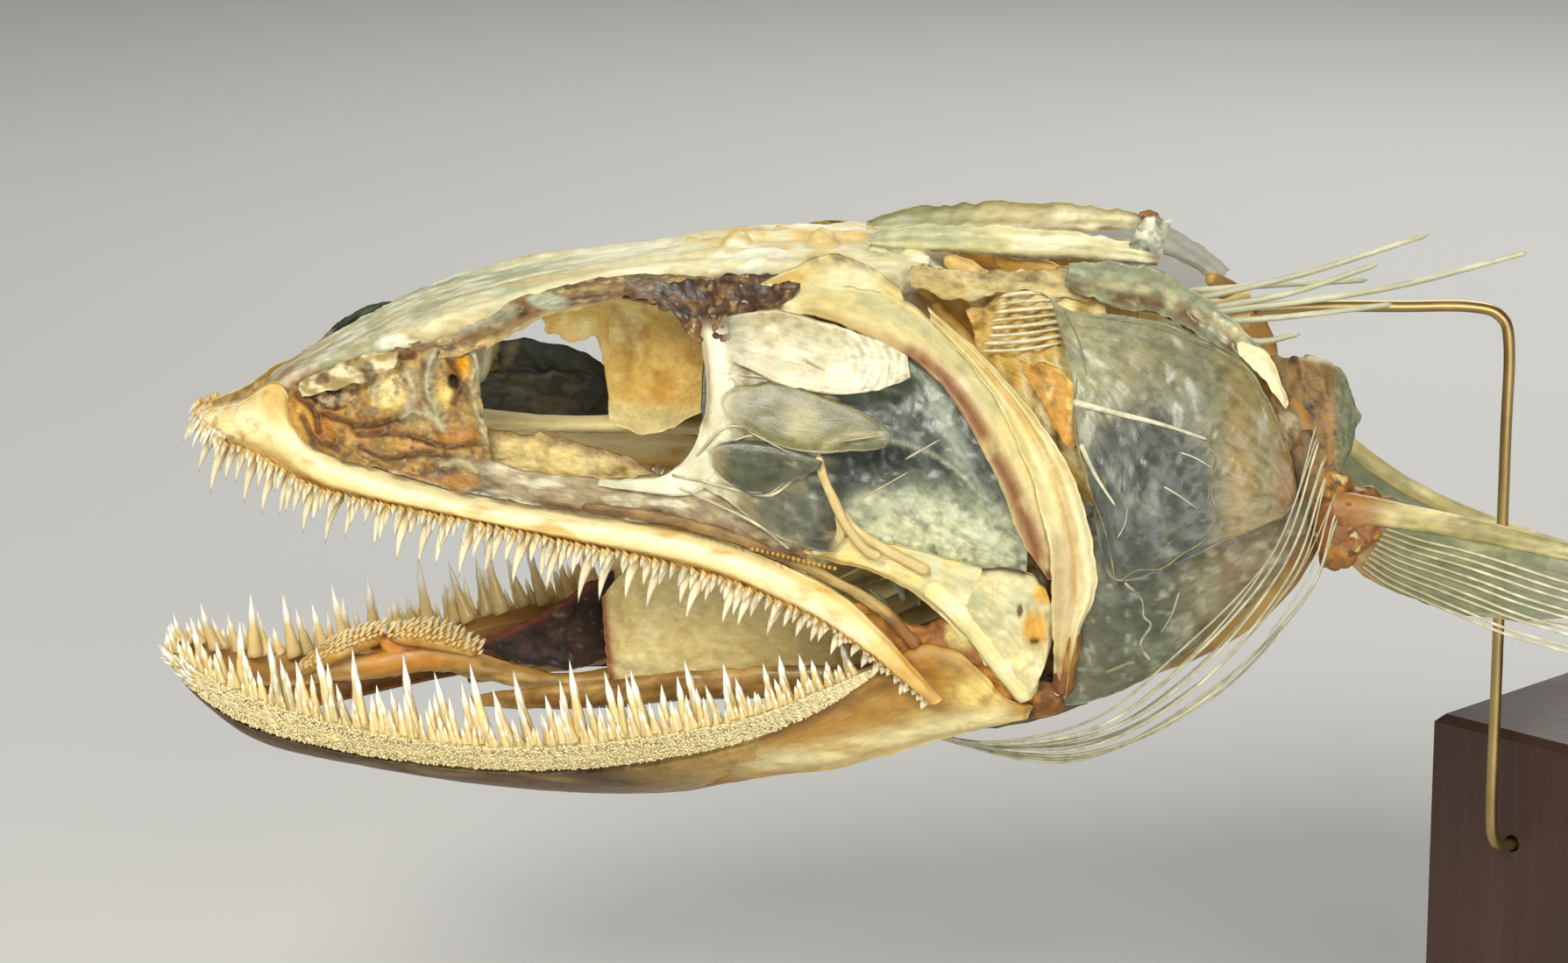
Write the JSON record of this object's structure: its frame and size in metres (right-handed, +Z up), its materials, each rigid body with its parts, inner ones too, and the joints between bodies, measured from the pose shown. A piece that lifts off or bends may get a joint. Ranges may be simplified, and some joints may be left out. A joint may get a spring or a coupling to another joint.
{
  "type": "mounted lizardfish head skeleton",
  "caption": "Dry head skeleton of a lizardfish, jaws open and set with needle teeth, with gill covers, shoulder girdle and fins, on a bent wire and wooden block.",
  "frame": {"origin": "middle of the wooden block's underside, which stands on the table", "axes": "+X runs from the snout back towards the tail, -Y is the left side of the head, +Z is up"},
  "size_m": [0.1758, 0.0674, 0.0805],
  "materials": {
    "pale_bone": "satin",
    "ivory_bone": "satin",
    "amber_bone": "satin",
    "glassy_bone": "gloss",
    "dried_tissue": "matte",
    "fin_rays": "satin",
    "brass_wire": "satin",
    "dark_wood": "satin"
  },
  "bodies": {
    "root": {"neurocranium": "pale_bone", "nasal_left": "pale_bone", "nasal_right": "pale_bone", "premaxilla_left": "ivory_bone", "premaxilla_right": "ivory_bone", "maxilla_left": "dried_tissue", "maxilla_right": "dried_tissue", "dentary_left": "ivory_bone", "dentary_right": "ivory_bone", "articular_left": "amber_bone", "articular_right": "amber_bone", "palatine_left": "amber_bone", "palatine_right": "amber_bone", "lachrymal_left": "dried_tissue", "lachrymal_right": "dried_tissue", "pterygoid_left": "pale_bone", "pterygoid_right": "pale_bone", "metapterygoid_left": "glassy_bone", "metapterygoid_right": "glassy_bone", "quadrate_left": "pale_bone", "quadrate_right": "pale_bone", "postorbital_left": "ivory_bone", "postorbital_right": "ivory_bone", "infraorbital_upper_left": "glassy_bone", "infraorbital_upper_right": "glassy_bone", "infraorbital_middle_left": "glassy_bone", "infraorbital_middle_right": "glassy_bone", "infraorbital_lower_left": "glassy_bone", "infraorbital_lower_right": "glassy_bone", "hyomandibula_left": "amber_bone", "hyomandibula_right": "amber_bone", "preopercle_left": "pale_bone", "preopercle_right": "pale_bone", "opercle_left": "glassy_bone", "opercle_right": "glassy_bone", "subopercle_left": "glassy_bone", "subopercle_right": "glassy_bone", "interopercle_left": "glassy_bone", "interopercle_right": "glassy_bone", "posttemporal_left": "pale_bone", "posttemporal_right": "pale_bone", "supracleithrum_left": "glassy_bone", "supracleithrum_right": "glassy_bone", "cleithrum_left": "amber_bone", "cleithrum_right": "amber_bone", "pectoral_fin_left": "fin_rays", "pectoral_fin_right": "fin_rays", "hyoid_rays_left": "glassy_bone", "hyoid_rays_right": "glassy_bone", "gill_arches_left": "amber_bone", "gill_arches_right": "amber_bone", "tongue": "amber_bone", "vertebrae": "pale_bone", "stand_wire": "brass_wire", "stand_block": "dark_wood"}
  },
  "joints": []
}
